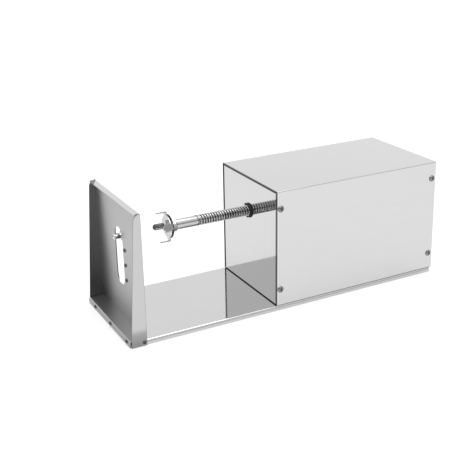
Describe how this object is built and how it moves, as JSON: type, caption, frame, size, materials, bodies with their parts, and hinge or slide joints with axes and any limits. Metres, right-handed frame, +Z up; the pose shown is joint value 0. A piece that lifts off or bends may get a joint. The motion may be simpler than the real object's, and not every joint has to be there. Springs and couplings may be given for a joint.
{
  "type": "tornado potato cutter",
  "caption": "Motor-driven spiral potato cutter: a screw-fed pronged holder turns and pushes the potato against a raised blade on a slotted upright plate, on a folded steel bed.",
  "frame": {"origin": "on the surface it stands on, under the middle of the whole machine", "axes": "+X from the cutter plate to the drive box along the feed screw, +Y from front to back, +Z up"},
  "size_m": [0.5074, 0.1672, 0.186],
  "materials": {
    "polished_steel": "polished stainless sheet",
    "screw_steel": "zinc-plated screws",
    "feed_steel": "turned and rolled stainless rod",
    "blade_steel": "ground blade steel",
    "dark_steel": "blackened steel",
    "aluminium": "machined aluminium",
    "bronze": "turned bronze",
    "rubber": "soft black rubber",
    "black_plastic": "matt black plastic",
    "red_plastic": "glossy red plastic",
    "blue_plastic": "glossy blue plastic",
    "green_plastic": "green terminal housing",
    "board": "green circuit board",
    "motor_metal": "plated motor can"
  },
  "bodies": {
    "base": {"base_tray": "polished_steel", "rubber_feet": "rubber", "cutter_plate": "polished_steel", "cutter_plate_screws": "screw_steel", "blade_carrier": "feed_steel", "carrier_screws": "screw_steel", "slicing_blade": "blade_steel", "blade_screws": "screw_steel", "skewer_guide": "blade_steel", "front_wall": "polished_steel", "rear_wall": "polished_steel", "cover_shell": "polished_steel", "cover_screws_front": "screw_steel", "cover_screws_back": "screw_steel", "end_wall_screws": "screw_steel", "corner_brackets": "dark_steel", "wall_foot_screws": "screw_steel", "wiper_ring": "black_plastic", "front_block": "aluminium", "rear_block": "aluminium", "block_screws": "screw_steel", "guide_rods": "feed_steel", "rod_grub_screws": "dark_steel", "feed_nut": "bronze", "feed_nut_screws": "screw_steel", "switch_bar": "aluminium", "switch_bar_screws": "screw_steel", "limit_switches": "black_plastic", "limit_switch_screws": "screw_steel", "control_board": "board", "board_standoffs": "bronze", "board_screws": "screw_steel", "board_nuts": "screw_steel", "board_relays": "blue_plastic", "terminal_block": "green_plastic", "rocker_bezel": "black_plastic", "power_jack": "black_plastic", "power_jack_nut": "screw_steel"},
    "carriage": {"carriage_plate": "aluminium", "trip_finger": "feed_steel", "trip_finger_screw": "screw_steel", "linear_bushes": "feed_steel", "bush_screws": "screw_steel", "tail_bearing": "feed_steel", "bearing_cap": "aluminium", "bearing_cap_screws": "screw_steel", "motor_pillars": "feed_steel", "gearbox": "motor_metal", "gear_motor": "motor_metal"},
    "screw": {"feed_screw": "feed_steel", "holder_hub": "feed_steel", "holder_disc": "dark_steel", "prong_plate": "polished_steel", "jam_nut": "feed_steel", "shaft_coupling": "aluminium", "coupling_screws": "dark_steel", "motor_shaft": "feed_steel"},
    "rocker": {"rocker_button": "red_plastic"},
    "front_lever": {"front_limit_lever": "feed_steel"},
    "rear_lever": {"rear_limit_lever": "feed_steel"}
  },
  "joints": [
    {"name": "carriage_travel", "type": "slide", "parent": "base", "child": "carriage", "axis": [1, 0, 0], "range_m": [-0.049, 0.08]},
    {"name": "screw_turn", "type": "hinge", "parent": "carriage", "child": "screw", "pos_m": [0, 0, 0.1285], "axis": [1, 0, 0], "range_deg": [-4410, 7200]},
    {"name": "rocker_tilt", "type": "hinge", "parent": "base", "child": "rocker", "pos_m": [0.24984, -0.038, 0.07001], "axis": [0, 1, 0], "range_deg": [-10, 10], "stiffness_Nm_per_rad": 0.03},
    {"name": "front_lever_press", "type": "hinge", "parent": "base", "child": "front_lever", "pos_m": [0.01052, 0.0398, 0.0715], "axis": [0, -1, 0], "range_deg": [0, 8], "stiffness_Nm_per_rad": 0.02},
    {"name": "rear_lever_press", "type": "hinge", "parent": "base", "child": "rear_lever", "pos_m": [0.15057, 0.0398, 0.0715], "axis": [0, 1, 0], "range_deg": [0, 8], "stiffness_Nm_per_rad": 0.02}
  ],
  "couplings": [
    {"joint": "screw_turn", "follows": "carriage_travel", "rad_per_m": 1570.8}
  ]
}
